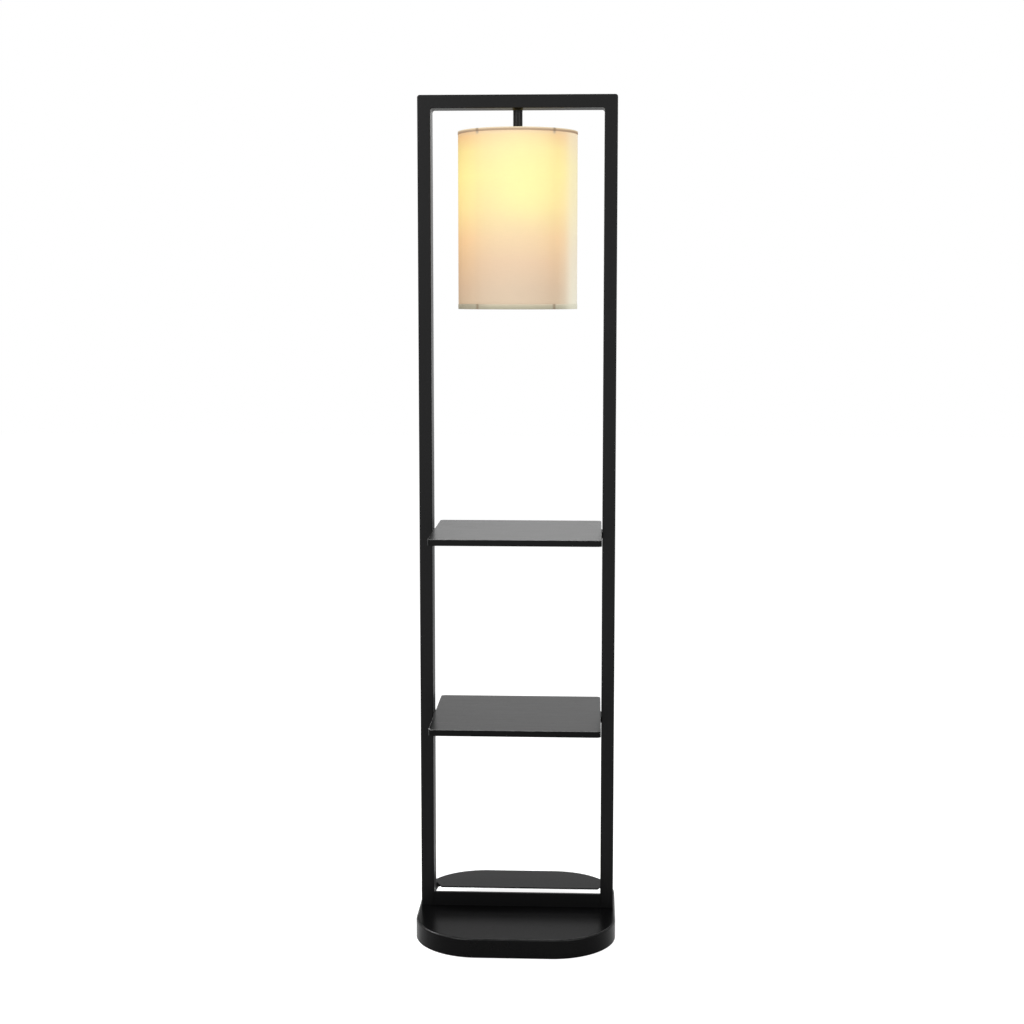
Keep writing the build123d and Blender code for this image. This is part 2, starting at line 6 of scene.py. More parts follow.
import bmesh
import bpy
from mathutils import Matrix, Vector


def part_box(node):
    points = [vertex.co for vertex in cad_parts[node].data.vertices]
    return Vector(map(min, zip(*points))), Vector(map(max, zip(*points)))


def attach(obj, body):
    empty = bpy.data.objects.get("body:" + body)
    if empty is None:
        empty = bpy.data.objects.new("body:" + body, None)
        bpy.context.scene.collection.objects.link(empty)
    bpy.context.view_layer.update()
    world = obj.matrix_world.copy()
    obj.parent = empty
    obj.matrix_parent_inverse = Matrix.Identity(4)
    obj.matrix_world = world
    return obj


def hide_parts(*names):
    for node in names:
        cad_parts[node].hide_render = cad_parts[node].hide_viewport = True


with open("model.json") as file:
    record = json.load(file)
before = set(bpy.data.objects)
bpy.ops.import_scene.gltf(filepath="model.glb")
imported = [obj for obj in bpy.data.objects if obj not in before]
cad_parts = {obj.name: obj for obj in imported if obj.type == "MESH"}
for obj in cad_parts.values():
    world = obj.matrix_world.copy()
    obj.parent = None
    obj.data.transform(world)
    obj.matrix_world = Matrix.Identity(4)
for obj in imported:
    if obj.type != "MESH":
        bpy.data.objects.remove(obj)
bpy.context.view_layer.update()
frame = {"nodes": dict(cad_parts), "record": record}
nodes = frame["nodes"]

MM = 0.001
AXIS_Y = 7 * MM  # the frame, rod, lampholder and shade all stand on this plane
BLACK = (0, 0, 0)
WHITE = (1, 1, 1)


def grey(level):
    """A neutral colour, or a share from 0 to 1 that a colour ramp hands on."""
    return (level, level, level)


# Camera: place in metres, angles in degrees, lens and sensor in millimetres
CAMERA_PLACE = (0.1465, -3.3524, 1.245)
CAMERA_PITCH = 6.348
CAMERA_YAW = 2.687
CAMERA_LENS = 61.055
CAMERA_SENSOR = 36
CAMERA_SHIFT_Y = -0.0234
CAMERA_SEES_TO = 100

# Light and background. A strength of 1 is white.
FLOOR_REACH = 12  # metres from the middle to each side
FLOOR_COLOUR = grey(0.35)
FLOOR_GLOW = 0.9  # with the lamps' light on top, the lit floor is white
FLOOR_IN_REFLECTIONS = 0.42
FAR_FLOOR_IN_REFLECTIONS = 2.0
FAR_FLOOR_FADE = (-4.5, -2.0)  # y between which the far floor's level turns into the near one's
LOW_WORLD_IN_REFLECTIONS = 1.2
HIGH_WORLD_IN_REFLECTIONS = 0.3
WORLD_FADE = (0.24, 0.335)  # heights on a ball of radius 1 between which low turns into high
WORLD_AMBIENT = 0.3
LAMPS = [
    # name, place, what it points at, side in metres, watts, full angle of the beam
    ("key", (-1.5, -2.0, 2.6), (0, 0, 1.3), 1.8, 55, 180),
    ("fill", (1.7, -1.8, 2.3), (0, 0, 1.3), 1.8, 36, 180),
    ("rim", (0.4, 2.4, 2.8), (0, 0, 1.2), 1.8, 45, 180),
    ("left", (-2.2, 0.8, 2.2), (0, 0, 0), 1.0, 4, 34),
]

# Shape of the shade
DRUM_STEPS = 720
SKIN_ROWS = 24
SHADE_RADIUS = 114.5 * MM
SKIN_THICKNESS = 0.9 * MM
HEM_THICKNESS = 0.5 * MM
TOP_HEM_HEIGHT = 6 * MM
BOTTOM_HEM_HEIGHT = 10 * MM
HEM_TUCK = 4 * MM  # how far a hem is folded in past the skin
PUCKER_DEPTH = 0.05 * MM
PUCKER_WAVES = [(37, 1.0, 0.0), (83, 0.6, 1.3)]  # waves round the drum, share of the depth, phase
LAP_WIDTH = 12 * MM
LAP_DEPTH = 0.3 * MM
LAP_EDGE = 0.6 * MM  # the lap rises over this width at each side

# Directions round the shade's axis are in degrees: 0 is right, 90 back, 180 left and -90 front
BACK = 90
QUARTER_TURN = 90
SEAM_DIRECTION = BACK
STRUT_ANGLE = 39  # from straight ahead or straight behind to each strut

# Fabric
THREAD_PITCH = 0.55 * MM
WEAVE_CONTRAST = (0.97, 1.02)
CLOUD_CONTRAST = (0.97, 1.03)
SLUB_CONTRAST = (-0.022, 0.022)
SLUB_LENGTH = 0.08  # slubs are drawn out along the weft by one over this
SKIN_CLOTH = ((0.39, 0.33, 0.25), (0.46, 0.39, 0.30))  # between the threads and on them
HEM_CLOTH = ((0.36, 0.33, 0.25), (0.44, 0.40, 0.31))
# painted shadow of the top ring wire along the top hem's inner edge
WIRE_SHADOW_CLOTH = (0.26, 0.17, 0.10)
CLOTH_FINISH = {
    "Roughness": 0.85,
    "Sheen Weight": 0.2,
    "Sheen Roughness": 0.3,
    "Specular IOR Level": 0.2,
}

# Painted shadows where the struts meet the wire rings, seen as dark marks through the fabric
KNOT_SPREAD = 2.6  # degrees
KNOT_HEIGHT = 6 * MM
KNOT_SHADOW_STRENGTH = 1.4
KNOT_SHADOW_GLOW = (0.10, 0.05, 0.02)
TICK_SHADOW_STRENGTH = 0.8
TICK_SHADOW_GLOW = (0.03, 0.015, 0.0)
TICK_SHADOW_CLOTH = (0.24, 0.17, 0.12)
STRUT_SHADOW = 0.03
STRUT_SHADOW_SPREAD = 6  # degrees

# Light through the skin, from its lower edge (0) to its upper edge (1): at the front and back,
# at the two sides, and where the room's light makes it pale
GLOW_MIDDLE = [
    (0.00, (0.31, 0.225, 0.155)),
    (0.12, (0.345, 0.235, 0.155)),
    (0.26, (0.43, 0.27, 0.155)),
    (0.40, (0.51, 0.35, 0.16)),
    (0.56, (0.56, 0.48, 0.155)),
    (0.74, (0.58, 0.55, 0.15)),
    (0.88, (0.56, 0.49, 0.155)),
    # the last two stops are painted shade just below the top hem
    (0.96, (0.54, 0.41, 0.14)),
    (0.985, (0.40, 0.26, 0.13)),
]
GLOW_SIDE = [
    (0.00, (0.28, 0.18, 0.10)),
    (0.12, (0.34, 0.19, 0.093)),
    (0.26, (0.445, 0.24, 0.088)),
    (0.40, (0.595, 0.33, 0.098)),
    (0.56, (0.68, 0.49, 0.116)),
    (0.74, (0.70, 0.59, 0.12)),
    (0.88, (0.65, 0.49, 0.09)),
    # the last two stops are painted shade just below the top hem
    (0.96, (0.58, 0.31, 0.06)),
    (0.985, (0.40, 0.22, 0.06)),
]
GLOW_PALE = [
    (0.00, (0.58, 0.58, 0.49)),
    (0.30, (0.60, 0.55, 0.43)),
    (0.60, (0.66, 0.60, 0.36)),
    (0.80, (0.68, 0.62, 0.34)),
    (1.00, (0.62, 0.50, 0.34)),
]
SIDE_SHARE = [  # from straight ahead or behind (0) to the side (1)
    (0.0, grey(0)),
    (0.22, grey(0.1)),
    (0.35, grey(0.3)),
    (0.47, grey(0.7)),
    (0.6, grey(1)),
]
PALE_DIRECTION = -6
PALE_WIDTH = 50  # degrees
PALE_SHARE = [  # from the pale direction (0) to PALE_WIDTH away from it (1)
    (0.28, grey(1)),
    (0.44, grey(0.85)),
    (0.62, grey(0.38)),
    (0.8, grey(0.1)),
    (1.0, grey(0)),
]
HOT_SPOT_DIRECTION = 100  # and straight opposite, at the front
HOT_SPOT_HEIGHT = 1.463  # metres above the floor
HOT_SPOT_WIDTH = 50  # degrees
HOT_SPOT_REACH = 0.1  # metres up and down
HOT_SPOT_COLOUR = (0.66, 0.60, 0.155)

# Light through the hems, from the shade's edge (0) to the hem's inner edge (1)
# the top hem's darker lower half is the ring wire's painted shadow
TOP_HEM_GLOW = [
    (0.0, (0.52, 0.40, 0.24)),
    (0.25, (0.44, 0.33, 0.19)),
    (0.5, (0.21, 0.11, 0.06)),
    (1.0, (0.21, 0.11, 0.06)),
]
# share of the painted wire shadow in the top hem's colour
TOP_HEM_WIRE_SHADOW = [(0.25, grey(0)), (0.5, grey(0.5)), (1.0, grey(0.5))]
BOTTOM_HEM_GLOW = [
    (0.0, (0.07, 0.07, 0.04)),
    (0.45, (0.12, 0.115, 0.07)),
    (0.8, (0.22, 0.18, 0.12)),
    (1.0, (0.30, 0.225, 0.16)),
]
PALE_HEM = (0.50, 0.50, 0.41)
HEM_SHADE = 0.15  # how far noise darkens the hems
DIM_HEM = (0.03, 0.02, 0.0)
DIM_DIRECTION = -143  # and straight opposite, at the back
DIM_WIDTH = 28  # degrees
DIM_SHARE = [(0.0, grey(0.85)), (0.5, grey(0.7)), (1.0, grey(0))]

# Noise: scales are in cells per metre
NOISE_ROUGHNESS = 0.55
NOISE_RANGE = (0.3, 0.7)  # nearly all of a noise lies in it
SCUFF_AND_GLINT_RANGE = (0.35, 0.65)
COAT_CLOUDS = 14
COAT_SCUFFS_AND_GLINTS = 90
COAT_PATCHES = 380
COAT_PEEL = 1400
METAL_MARKS = 900
METAL_STRETCH = (1, 1, 40)
PLASTIC_CLOUDS = 60
PLASTIC_GRAIN = 1500
OPAL_CLOUDS = 70
OPAL_GRAIN = 1800
SKIN_CLOUDS = 9
SKIN_SLUBS = 620
HEM_CLOUDS = 140

# Relief: its height, and how strongly it shows
FINE_HEIGHT = 0.1 * MM
COARSE_HEIGHT = 0.2 * MM
COAT_RELIEF = 0.10
PATCH_SHARE = 0.6  # of the patches' relief, against the orange peel's
METAL_RELIEF = 0.15
PLASTIC_RELIEF = 0.12
OPAL_RELIEF = 0.05
CLOTH_RELIEF = 0.25
SLUB_SHARE = 0.5  # of the slubs' relief, against the threads'

# Gloss, and edge wear with a painted highlight
COAT_GLOSS_VARIES = 0.03
PLASTIC_GLOSS_VARIES = 0.06
LEAST_RUBBED_AND_HIGHLIT = 0.55
RUBBED_AND_HIGHLIT_SHARE = [  # from upright faces (0) to level ones (1): only the rounded edges turn paler, partly wear and partly a painted highlight
    (0.30, BLACK),
    (0.55, WHITE),
    (0.93, WHITE),
    (0.985, BLACK),
]


# Materials

materials = {}  # by name; a slot's material has the slot's name


class Nodes:
    """A node tree and a few short ways to add nodes to it."""

    def __init__(self, tree):
        self.tree = tree

    def node(self, kind, **values):
        made = self.tree.nodes.new(kind)
        for key, value in values.items():
            setattr(made, key, value)
        return made

    def link(self, source, target):
        self.tree.links.new(source, target)

    def feed(self, socket, value):
        """Links another socket to this one, or sets it to a number or a colour."""
        if isinstance(value, bpy.types.NodeSocket):
            self.link(value, socket)
        elif isinstance(value, (int, float)):
            socket.default_value = value
        else:
            socket.default_value = (*value, 1)

    def coordinate(self, kind):
        return self.node("ShaderNodeTexCoord").outputs[kind]

    def split(self, vector):
        """The vector's X, Y and Z."""
        made = self.node("ShaderNodeSeparateXYZ")
        self.link(vector, made.inputs["Vector"])
        return made.outputs

    def math(self, operation, first, second=0.0, clamp=False):
        made = self.node("ShaderNodeMath", operation=operation, use_clamp=clamp)
        self.feed(made.inputs[0], first)
        self.feed(made.inputs[1], second)
        return made.outputs["Value"]

    def spread(self, factor, low, high, from_low=0.0, from_high=1.0):
        """The factor moved from one range to another, and kept within it."""
        made = self.node("ShaderNodeMapRange")
        self.link(factor, made.inputs["Value"])
        made.inputs["From Min"].default_value = from_low
        made.inputs["From Max"].default_value = from_high
        made.inputs["To Min"].default_value = low
        made.inputs["To Max"].default_value = high
        return made.outputs["Result"]


class Paint(Nodes):
    """A material with its node tree and its shader."""

    def __init__(self, name):
        self.material = bpy.data.materials.new(name)
        materials[name] = self.material
        self.material.use_nodes = True
        super().__init__(self.material.node_tree)
        self.shader = self.tree.nodes["Principled BSDF"]

    def set(self, values):
        """Values on the shader's own sockets."""
        for key, value in values.items():
            self.feed(self.shader.inputs[key], value)

    def noise(self, scale, detail=3.0, vector=None):
        made = self.node("ShaderNodeTexNoise")
        made.inputs["Scale"].default_value = scale
        made.inputs["Detail"].default_value = detail
        made.inputs["Roughness"].default_value = NOISE_ROUGHNESS
        self.link(vector or self.coordinate("Object"), made.inputs["Vector"])
        return made.outputs["Fac"]

    def ramp(self, factor, stops, smooth=False):
        made = self.node("ShaderNodeValToRGB")
        made.color_ramp.interpolation = "EASE" if smooth else "LINEAR"
        elements = made.color_ramp.elements
        while len(elements) < len(stops):
            elements.new(0.5)
        for element, (place, colour) in zip(elements, stops):
            element.position = place
            element.color = (*colour, 1)
        self.link(factor, made.inputs["Fac"])
        return made.outputs["Color"]

    def mottle(self, noise, dark, light):
        """From the dark colour to the light one, by the noise."""
        return self.ramp(noise, [(NOISE_RANGE[0], dark), (NOISE_RANGE[1], light)])

    def vary(self, noise, low, high):
        """From the low number to the high one, by the noise."""
        return self.spread(noise, low, high, *NOISE_RANGE)

    def stretched(self, scale):
        """Places on the object, times a scale along each axis."""
        made = self.node("ShaderNodeMapping")
        made.inputs["Scale"].default_value = scale
        self.link(self.coordinate("Object"), made.inputs["Vector"])
        return made.outputs["Vector"]

    def mix(self, factor, first, second):
        made = self.node("ShaderNodeMix", data_type="RGBA")
        self.feed(made.inputs["Factor"], factor)
        self.feed(made.inputs[6], first)  # the sockets A and B for colours
        self.feed(made.inputs[7], second)
        return made.outputs[2]

    def bump(self, height, strength, distance):
        made = self.node("ShaderNodeBump")
        made.inputs["Strength"].default_value = strength
        made.inputs["Distance"].default_value = distance
        self.link(height, made.inputs["Height"])
        self.link(made.outputs["Normal"], self.shader.inputs["Normal"])


def coated(name, dark, light, worn_and_highlight, rough, level, along=(1, 1, 1)):
    """Black coating: fine orange-peel grain, slightly uneven gloss, and rounded edges a little paler,
    partly wear and partly a painted highlight.
    A small number in along draws the pattern out that way."""
    paint = Paint(name)
    drawn = paint.stretched(along)
    colour = paint.mottle(paint.noise(COAT_CLOUDS, 4, vector=drawn), dark, light)
    upward = paint.math("ABSOLUTE", paint.split(paint.coordinate("Normal"))["Z"])
    # rounded edges paler: partly wear, partly a painted highlight, broken up by noise
    scuffs_and_glints = paint.spread(paint.noise(COAT_SCUFFS_AND_GLINTS), LEAST_RUBBED_AND_HIGHLIT, 1.0, *SCUFF_AND_GLINT_RANGE)
    rubbed_and_highlit = paint.math("MULTIPLY", paint.ramp(upward, RUBBED_AND_HIGHLIT_SHARE), scuffs_and_glints)
    patch = paint.noise(COAT_PATCHES, 4, vector=drawn)
    gloss = paint.vary(patch, rough - COAT_GLOSS_VARIES, rough + COAT_GLOSS_VARIES)
    patch_relief = paint.math("MULTIPLY", patch, PATCH_SHARE)
    relief = paint.math("ADD", paint.noise(COAT_PEEL, 2), patch_relief)
    paint.set({
        "Base Color": paint.mix(rubbed_and_highlit, colour, worn_and_highlight),
        "Roughness": gloss,
        "Specular IOR Level": level,
    })
    paint.bump(relief, COAT_RELIEF, FINE_HEIGHT)


def brushed_metal(name, dark, light, rough_low, rough_high):
    """Plain metal with fine marks along one direction."""
    paint = Paint(name)
    marks = paint.noise(METAL_MARKS, vector=paint.stretched(METAL_STRETCH))
    paint.set({
        "Base Color": paint.mottle(marks, dark, light),
        "Roughness": paint.vary(marks, rough_low, rough_high),
        "Metallic": 1.0,
    })
    paint.bump(marks, METAL_RELIEF, FINE_HEIGHT)


def moulded(name, dark, light, rough, relief=PLASTIC_RELIEF):
    """Moulded plastic, rubber or ceramic with a faint surface grain."""
    paint = Paint(name)
    fine = paint.noise(PLASTIC_GRAIN)
    paint.set({
        "Base Color": paint.mottle(paint.noise(PLASTIC_CLOUDS, 4), dark, light),
        "Roughness": paint.vary(fine, rough - PLASTIC_GLOSS_VARIES, rough + PLASTIC_GLOSS_VARIES),
    })
    paint.bump(fine, relief, COARSE_HEIGHT)


def opal():
    """Opal plastic of the bulb's dome, lit from within."""
    paint = Paint("bulb_opal")
    cloud = paint.noise(OPAL_CLOUDS)
    paint.set({
        "Base Color": paint.mix(cloud, (0.86, 0.84, 0.78), (0.9, 0.88, 0.82)),
        "Roughness": 0.35,
        "Emission Color": paint.mix(cloud, (1.0, 0.83, 0.55), (1.0, 0.88, 0.62)),
        "Emission Strength": 3.0,
    })
    paint.bump(paint.noise(OPAL_GRAIN, 2), OPAL_RELIEF, FINE_HEIGHT)


def place_on_drum(paint):
    """Direction round the shade's axis, from -180 to 180 degrees, and height in metres."""
    place = paint.split(paint.coordinate("Object"))
    across = paint.math("SUBTRACT", place["Y"], AXIS_Y)
    angle = paint.math("ARCTAN2", across, place["X"])
    return paint.math("MULTIPLY", angle, 180 / pi), place["Z"]


def weave(paint, angle, height):
    """Plain weave round the drum: 0 between the warp and weft threads and 1 on top of both."""
    phase = 2 * pi / THREAD_PITCH
    along = paint.math("MULTIPLY", angle, radians(1) * SHADE_RADIUS * phase)
    up = paint.math("MULTIPLY", height, phase)
    warp = paint.math("ABSOLUTE", paint.math("SINE", paint.math("MULTIPLY", along, 0.5)))
    weft = paint.math("ABSOLUTE", paint.math("SINE", paint.math("MULTIPLY", up, 0.5)))
    return paint.math("MULTIPLY", paint.math("ADD", warp, weft), 0.5)


def slubs_of(paint, angle, height):
    """Noise drawn out along the weft, as thicker stretches of thread."""
    place = paint.node("ShaderNodeCombineXYZ")
    along = paint.math("MULTIPLY", angle, radians(1) * SHADE_RADIUS * SLUB_LENGTH)
    paint.link(along, place.inputs["X"])
    paint.link(height, place.inputs["Z"])
    return paint.noise(SKIN_SLUBS, vector=place.outputs["Vector"])


def away_from(paint, angle, direction, both_ways=True):
    """Degrees from the direction, or where both_ways, from the nearer of it and its opposite."""
    turned_by = paint.math("SUBTRACT", angle, direction)
    wave = paint.math("COSINE", paint.math("MULTIPLY", turned_by, radians(1)))
    if both_ways:
        wave = paint.math("ABSOLUTE", wave)
    return paint.math("MULTIPLY", paint.math("ARCCOSINE", wave), 180 / pi)


def pale_side(paint, angle):
    """1 where the room's light whitens the fabric on its right side, falling to 0 round the drum."""
    off = away_from(paint, angle, PALE_DIRECTION, both_ways=False)
    return paint.ramp(paint.math("DIVIDE", off, PALE_WIDTH), PALE_SHARE)


def near_struts(paint, angle, reach):
    """1 over a strut, falling to 0 at that many degrees from it."""
    off_front = away_from(paint, angle, BACK)
    off = paint.math("ABSOLUTE", paint.math("SUBTRACT", off_front, STRUT_ANGLE))
    return paint.math("SUBTRACT", 1.0, paint.math("DIVIDE", off, reach), clamp=True)


def skin_glow(paint, angle, height):
    """Colour of the painted light through the skin, with painted shadows where the struts meet the top
    ring.
    """
    low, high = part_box("shade_skin")[0].z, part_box("shade_skin")[1].z
    up = paint.spread(height, 0, 1, low, high)
    middle = paint.ramp(up, GLOW_MIDDLE)
    side = paint.ramp(up, GLOW_SIDE)
    off_front = paint.math("DIVIDE", away_from(paint, angle, BACK), QUARTER_TURN)
    sideways = paint.ramp(off_front, SIDE_SHARE)
    glow = paint.mix(sideways, middle, side)
    glow = paint.mix(pale_side(paint, angle), glow, paint.ramp(up, GLOW_PALE))
    around = paint.math("DIVIDE", away_from(paint, angle, HOT_SPOT_DIRECTION), HOT_SPOT_WIDTH)
    along = paint.math("DIVIDE", paint.math("SUBTRACT", height, HOT_SPOT_HEIGHT), HOT_SPOT_REACH)
    around_squared = paint.math("MULTIPLY", around, around)
    along_squared = paint.math("MULTIPLY", along, along)
    distance = paint.math("SQRT", paint.math("ADD", around_squared, along_squared))
    spot = paint.ramp(distance, [(0.0, WHITE), (1.0, BLACK)], smooth=True)
    glow = paint.mix(spot, glow, HOT_SPOT_COLOUR)
    below_hem = paint.math("SUBTRACT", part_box("shade_top_hem")[0].z, height)
    below_hem = paint.math("DIVIDE", below_hem, KNOT_HEIGHT)
    knot_up = paint.math("SUBTRACT", 1.0, below_hem, clamp=True)
    # painted shadow where each strut meets the top ring
    knot_shadow = paint.math("MULTIPLY", near_struts(paint, angle, KNOT_SPREAD), knot_up)
    return paint.mix(paint.math("MULTIPLY", knot_shadow, KNOT_SHADOW_STRENGTH, clamp=True), glow, KNOT_SHADOW_GLOW)


def shade_fabric():
    """Cream fabric laminated on a clear lining. Its glow is painted light: the bulb's light through it,
    a hot spot, and room light paling its right side.
    """
    paint = Paint("shade_fabric")
    angle, height = place_on_drum(paint)
    threads = weave(paint, angle, height)
    slubs = slubs_of(paint, angle, height)
    clouds = paint.vary(paint.noise(SKIN_CLOUDS), *CLOUD_CONTRAST)
    uneven = paint.math("ADD", clouds, paint.vary(slubs, *SLUB_CONTRAST))
    level = paint.math("MULTIPLY", uneven, paint.spread(threads, *WEAVE_CONTRAST))
    shadow = paint.math("MULTIPLY", near_struts(paint, angle, STRUT_SHADOW_SPREAD), STRUT_SHADOW)
    paint.set(CLOTH_FINISH)
    paint.set({
        "Base Color": paint.mix(threads, *SKIN_CLOTH),
        "Emission Color": skin_glow(paint, angle, height),
        "Emission Strength": paint.math("SUBTRACT", level, shadow),
    })
    relief = paint.math("ADD", threads, paint.math("MULTIPLY", slubs, SLUB_SHARE))
    paint.bump(relief, CLOTH_RELIEF, COARSE_HEIGHT)


def hem_fabric():
    """Folded hem: more layers of the same fabric, so less light comes through than through the drum.
    Painted shadows of the top ring wire and the struts' ends darken it.
    """
    paint = Paint("shade_hem")
    angle, height = place_on_drum(paint)
    threads = weave(paint, angle, height)
    top_edge, bottom_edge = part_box("shade_top_hem")[1].z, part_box("shade_bottom_hem")[0].z
    from_top = paint.math("SUBTRACT", top_edge, height)
    from_bottom = paint.math("SUBTRACT", height, bottom_edge)
    upper = paint.ramp(paint.math("DIVIDE", from_top, TOP_HEM_HEIGHT), TOP_HEM_GLOW)
    lower = paint.ramp(paint.math("DIVIDE", from_bottom, BOTTOM_HEM_HEIGHT), BOTTOM_HEM_GLOW)
    lower = paint.mix(pale_side(paint, angle), lower, PALE_HEM)
    from_dim = paint.math("DIVIDE", away_from(paint, angle, DIM_DIRECTION), DIM_WIDTH)
    lower = paint.mix(paint.ramp(from_dim, DIM_SHARE), lower, DIM_HEM)
    is_upper = paint.math("LESS_THAN", from_top, from_bottom)
    glow = paint.mix(is_upper, lower, upper)
    glow = paint.mix(paint.noise(HEM_CLOUDS), glow, paint.mix(HEM_SHADE, glow, BLACK))
    # painted shadows of the struts' ends, seen through the hems as dark ticks
    tick_shadow = paint.math("MULTIPLY", near_struts(paint, angle, KNOT_SPREAD), TICK_SHADOW_STRENGTH)
    # painted shadow of the ring wire along the top hem's inner edge
    wire_shadow = paint.ramp(paint.math("DIVIDE", from_top, TOP_HEM_HEIGHT), TOP_HEM_WIRE_SHADOW)
    cloth = paint.mix(threads, *HEM_CLOTH)
    cloth = paint.mix(paint.math("MULTIPLY", wire_shadow, is_upper), cloth, WIRE_SHADOW_CLOTH)
    paint.set(CLOTH_FINISH)
    paint.set({
        "Base Color": paint.mix(tick_shadow, cloth, TICK_SHADOW_CLOTH),
        "Emission Color": paint.mix(tick_shadow, glow, TICK_SHADOW_GLOW),
        "Emission Strength": 1.0,
    })
    paint.bump(threads, CLOTH_RELIEF, COARSE_HEIGHT)


coated(
    "frame_black",
    dark=(0.0018, 0.0018, 0.0019),
    light=(0.0028, 0.0028, 0.003),
    worn_and_highlight=grey(0.006),
    rough=0.40,
    level=0.165,
)
coated(
    "base_black",
    dark=(0.0018, 0.0018, 0.0019),
    light=(0.0025, 0.0025, 0.0027),
    worn_and_highlight=grey(0.024),
    rough=0.22,
    level=0.08,
)
coated(
    "shelf_black",
    dark=(0.0012, 0.0014, 0.0013),
    light=(0.0022, 0.0025, 0.0024),
    worn_and_highlight=grey(0.26),
    rough=0.30,
    level=0.10,
    along=(0.04, 1, 1),
)
brushed_metal("hidden_steel", (0.22, 0.22, 0.23), (0.36, 0.36, 0.37), 0.4, 0.6)
brushed_metal("zinc_fasteners", (0.48, 0.48, 0.47), (0.66, 0.65, 0.62), 0.25, 0.4)
brushed_metal("contacts", (0.62, 0.42, 0.18), (0.78, 0.56, 0.28), 0.22, 0.34)
brushed_metal("bulb_cap", (0.58, 0.58, 0.57), (0.74, 0.74, 0.72), 0.2, 0.32)
moulded("rubber", (0.012, 0.012, 0.012), (0.02, 0.02, 0.02), 0.8)
moulded("black_plastic", (0.014, 0.014, 0.015), (0.022, 0.022, 0.023), 0.42)
moulded("ceramic", (0.72, 0.69, 0.62), (0.8, 0.77, 0.7), 0.3)
moulded("lead_sheath", (0.014, 0.014, 0.014), (0.022, 0.022, 0.022), 0.55)
moulded("shade_wire", (0.60, 0.58, 0.52), (0.70, 0.68, 0.62), 0.4)
moulded("bulb_body", (0.76, 0.75, 0.72), (0.84, 0.83, 0.80), 0.38)
moulded("bulb_glass", (0.010, 0.010, 0.012), (0.016, 0.016, 0.018), 0.12, relief=0.03)
moulded("led_board", (0.80, 0.80, 0.78), (0.88, 0.88, 0.86), 0.5)
opal()
shade_fabric()
hem_fabric()

for subpart in frame["record"]["subparts"]:
    mesh = nodes[subpart["node"]].data
    mesh.materials.clear()
    mesh.materials.append(materials[subpart["material_slot"]])


# Pieces


def add_piece(name, mesh_builder, slot, body, replaced):
    """A new mesh piece that rides on a body and stands for CAD nodes."""
    mesh = bpy.data.meshes.new(name)
    mesh_builder.to_mesh(mesh)
    mesh_builder.free()
    piece = bpy.data.objects.new(name, mesh)
    bpy.context.scene.collection.objects.link(piece)
    mesh.materials.append(materials[slot])
    for face in mesh.polygons:
        face.use_smooth = True
    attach(piece, body)
    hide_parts(*replaced)


def turned(profile, radius_at):
    """Closed ring-shaped surface turned about the shade's axis from (radius, z) points.
    radius_at(radius, z, angle) moves a point in or out."""
    builder = bmesh.new()
    rings = []
    for step in range(DRUM_STEPS):
        angle = tau * step / DRUM_STEPS
        ring = []
        for radius, z in profile:
            r = radius_at(radius, z, angle)
            ring.append(builder.verts.new((r * cos(angle), AXIS_Y + r * sin(angle), z)))
        rings.append(ring)
    for here, there in zip(rings, rings[1:] + rings[:1]):
        for i in range(len(profile)):
            j = (i + 1) % len(profile)
            builder.faces.new((here[i], there[i], there[j], here[j]))
    return builder


def lap_step(angle):
    """How far the skin stands out over its lap seam at that angle, in radians."""
    away = abs((angle - radians(SEAM_DIRECTION) + pi) % tau - pi) * SHADE_RADIUS
    return LAP_DEPTH * max(0.0, min(1.0, (LAP_WIDTH / 2 - away) / LAP_EDGE + 0.5))


def make_skin(outer, inner):
    """Drum with its lap seam at the back, from its outer and inner radius."""
    low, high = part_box("shade_skin")[0].z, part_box("shade_skin")[1].z
    outside = [(outer, low + (high - low) * i / SKIN_ROWS) for i in range(SKIN_ROWS + 1)]
    inside = [(inner, z) for _, z in reversed(outside)]

    def lapped(radius, z, angle):
        return radius + (lap_step(angle) if radius > inner else 0)

    skin = turned(outside + inside, lapped)
    add_piece("shade_skin_fabric", skin, "shade_fabric", "shade", ["shade_skin"])


def make_hem(name, height, outer, inner):
    """Rolled hem at the shade's top or bottom edge, slightly puckered towards its inner edge."""
    low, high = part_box(f"shade_{name}_hem")
    edge, inwards = (high.z, -1) if name == "top" else (low.z, 1)  # -1 is down and 1 is up
    soft = HEM_THICKNESS
    lip = edge + inwards * soft
    band = edge + inwards * height
    tuck = inner - HEM_TUCK
    profile = [  # both folds are rounded by about the fabric's thickness
        (tuck, edge + inwards * soft * 0.5),
        (tuck + soft, edge),
        (SHADE_RADIUS - soft * 1.2, edge),
        (SHADE_RADIUS - soft * 0.35, edge + inwards * soft * 0.35),
        (SHADE_RADIUS, edge + inwards * soft * 1.3),
        (SHADE_RADIUS, band - inwards * soft),
        (SHADE_RADIUS - soft * 0.4, band - inwards * soft * 0.2),
        (outer, band),
        (outer, lip),
        (tuck, lip),
    ]

    def puckered(radius, z, angle):
        nearness = 1 - min(1, abs(z - band) / height)
        wave = sum(share * sin(count * angle + phase) for count, share, phase in PUCKER_WAVES)
        return radius - (PUCKER_DEPTH * (1 + wave) * nearness if radius > outer else 0)

    hem = turned(profile if inwards < 0 else profile[::-1], puckered)
    add_piece(f"shade_{name}_hem_fabric", hem, "shade_hem", "shade", [f"shade_{name}_hem"])


def make_shade():
    """The skin, and the hems that are folded over its edges."""
    outer = SHADE_RADIUS - HEM_THICKNESS
    inner = outer - SKIN_THICKNESS
    make_skin(outer, inner)
    make_hem("top", TOP_HEM_HEIGHT, outer, inner)
    make_hem("bottom", BOTTOM_HEM_HEIGHT, outer, inner)


make_shade()


# Floor, light and camera


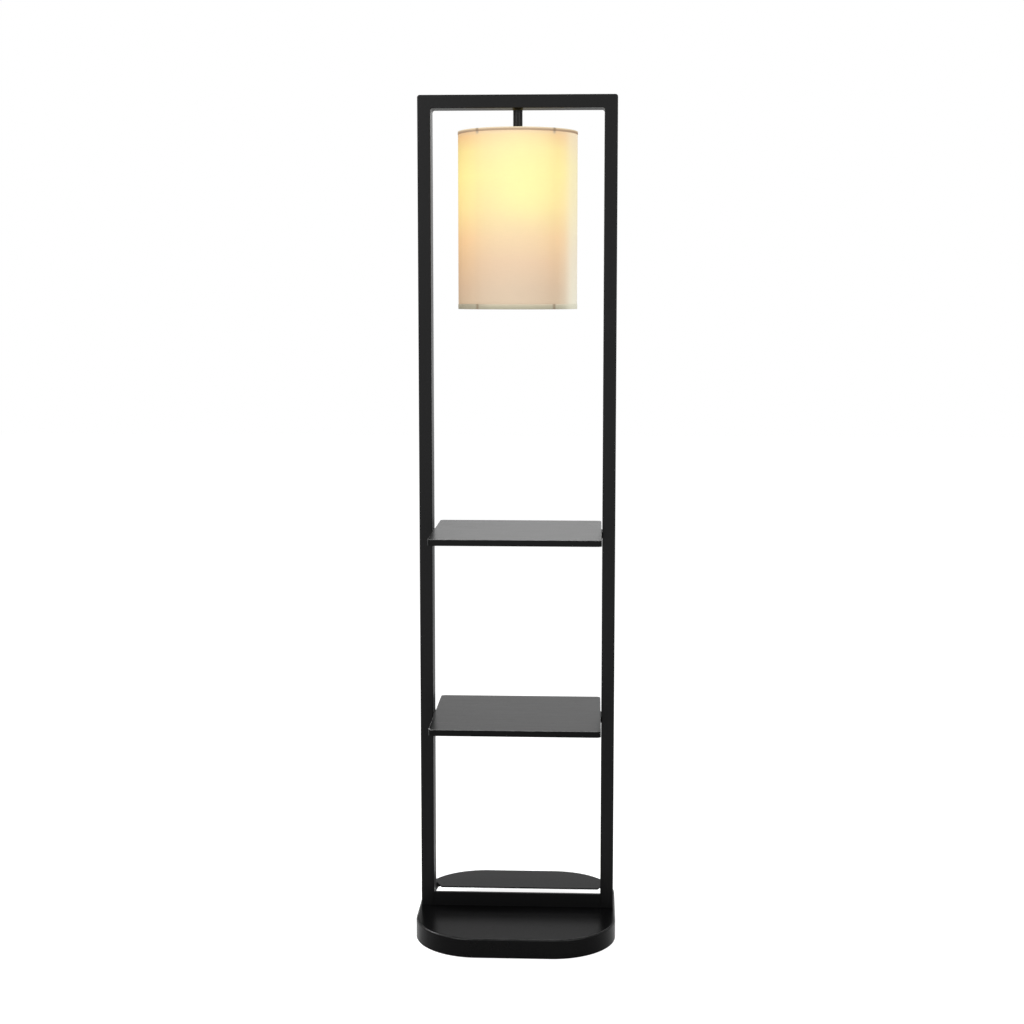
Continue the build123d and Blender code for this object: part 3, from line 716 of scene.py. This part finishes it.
def make_floor():
    """Pale floor, seen as white where it is lit and a little greyer in the lamp's shadow.
    Reflections show it darker near the lamp and brighter far in front."""
    mesh = bpy.data.meshes.new("floor")
    corners = [(-1, -1), (1, -1), (1, 1), (-1, 1)]
    mesh.from_pydata([(x * FLOOR_REACH, y * FLOOR_REACH, 0) for x, y in corners], [], [(0, 1, 2, 3)])
    floor = bpy.data.objects.new("floor", mesh)
    bpy.context.scene.collection.objects.link(floor)
    paint = Paint("floor_white")
    path = paint.node("ShaderNodeLightPath").outputs
    seen = paint.math("MAXIMUM", path["Is Camera Ray"], path["Is Transmission Ray"])
    direct = paint.math("MULTIPLY", seen, FLOOR_GLOW)
    place = paint.split(paint.coordinate("Object"))
    level = paint.spread(place["Y"], FAR_FLOOR_IN_REFLECTIONS, FLOOR_IN_REFLECTIONS, *FAR_FLOOR_FADE)
    mirrored = paint.math("MULTIPLY", path["Is Glossy Ray"], level)
    paint.set({
        "Base Color": FLOOR_COLOUR,
        "Roughness": 0.9,
        "Specular IOR Level": 0.0,
        "Emission Color": WHITE,
        "Emission Strength": paint.math("MAXIMUM", direct, mirrored),
    })
    mesh.materials.append(paint.material)


def make_world():
    """White background for the camera and softer light for everything else.
    Reflections show it bright near the horizon and dim higher up."""
    world = bpy.data.worlds.new("studio")
    bpy.context.scene.world = world
    world.use_nodes = True
    sky = Nodes(world.node_tree)
    path = sky.node("ShaderNodeLightPath").outputs
    seen = sky.math("MAXIMUM", path["Is Camera Ray"], path["Is Transmission Ray"])
    height = sky.split(sky.coordinate("Generated"))["Z"]
    level = sky.spread(height, LOW_WORLD_IN_REFLECTIONS, HIGH_WORLD_IN_REFLECTIONS, *WORLD_FADE)
    mirrored = sky.math("MULTIPLY", path["Is Glossy Ray"], level)
    strength = sky.math("MAXIMUM", sky.math("MAXIMUM", seen, mirrored), WORLD_AMBIENT)
    background = sky.tree.nodes["Background"]
    sky.feed(background.inputs["Color"], WHITE)
    sky.feed(background.inputs["Strength"], strength)


def add_lamp(name, place, target, side, watts, beam):
    """Square soft light, with its beam's full angle in degrees."""
    data = bpy.data.lights.new(name, "AREA")
    data.shape = "SQUARE"
    data.size = side
    data.energy = watts
    data.spread = radians(beam)
    lamp = bpy.data.objects.new(name, data)
    bpy.context.scene.collection.objects.link(lamp)
    lamp.location = place
    aim = Vector(target) - Vector(place)
    lamp.rotation_euler = aim.to_track_quat("-Z", "Y").to_euler()


def make_camera():
    """The photograph's camera."""
    data = bpy.data.cameras.new("camera")
    data.lens = CAMERA_LENS
    data.sensor_width = CAMERA_SENSOR
    data.shift_y = CAMERA_SHIFT_Y
    data.clip_end = CAMERA_SEES_TO
    camera = bpy.data.objects.new("camera", data)
    bpy.context.scene.collection.objects.link(camera)
    camera.location = CAMERA_PLACE
    camera.rotation_euler = (radians(90 - CAMERA_PITCH), 0, radians(CAMERA_YAW))
    bpy.context.scene.camera = camera


make_floor()
make_world()
for lamp_values in LAMPS:
    add_lamp(*lamp_values)
make_camera()
bpy.context.scene.view_settings.view_transform = "Standard"
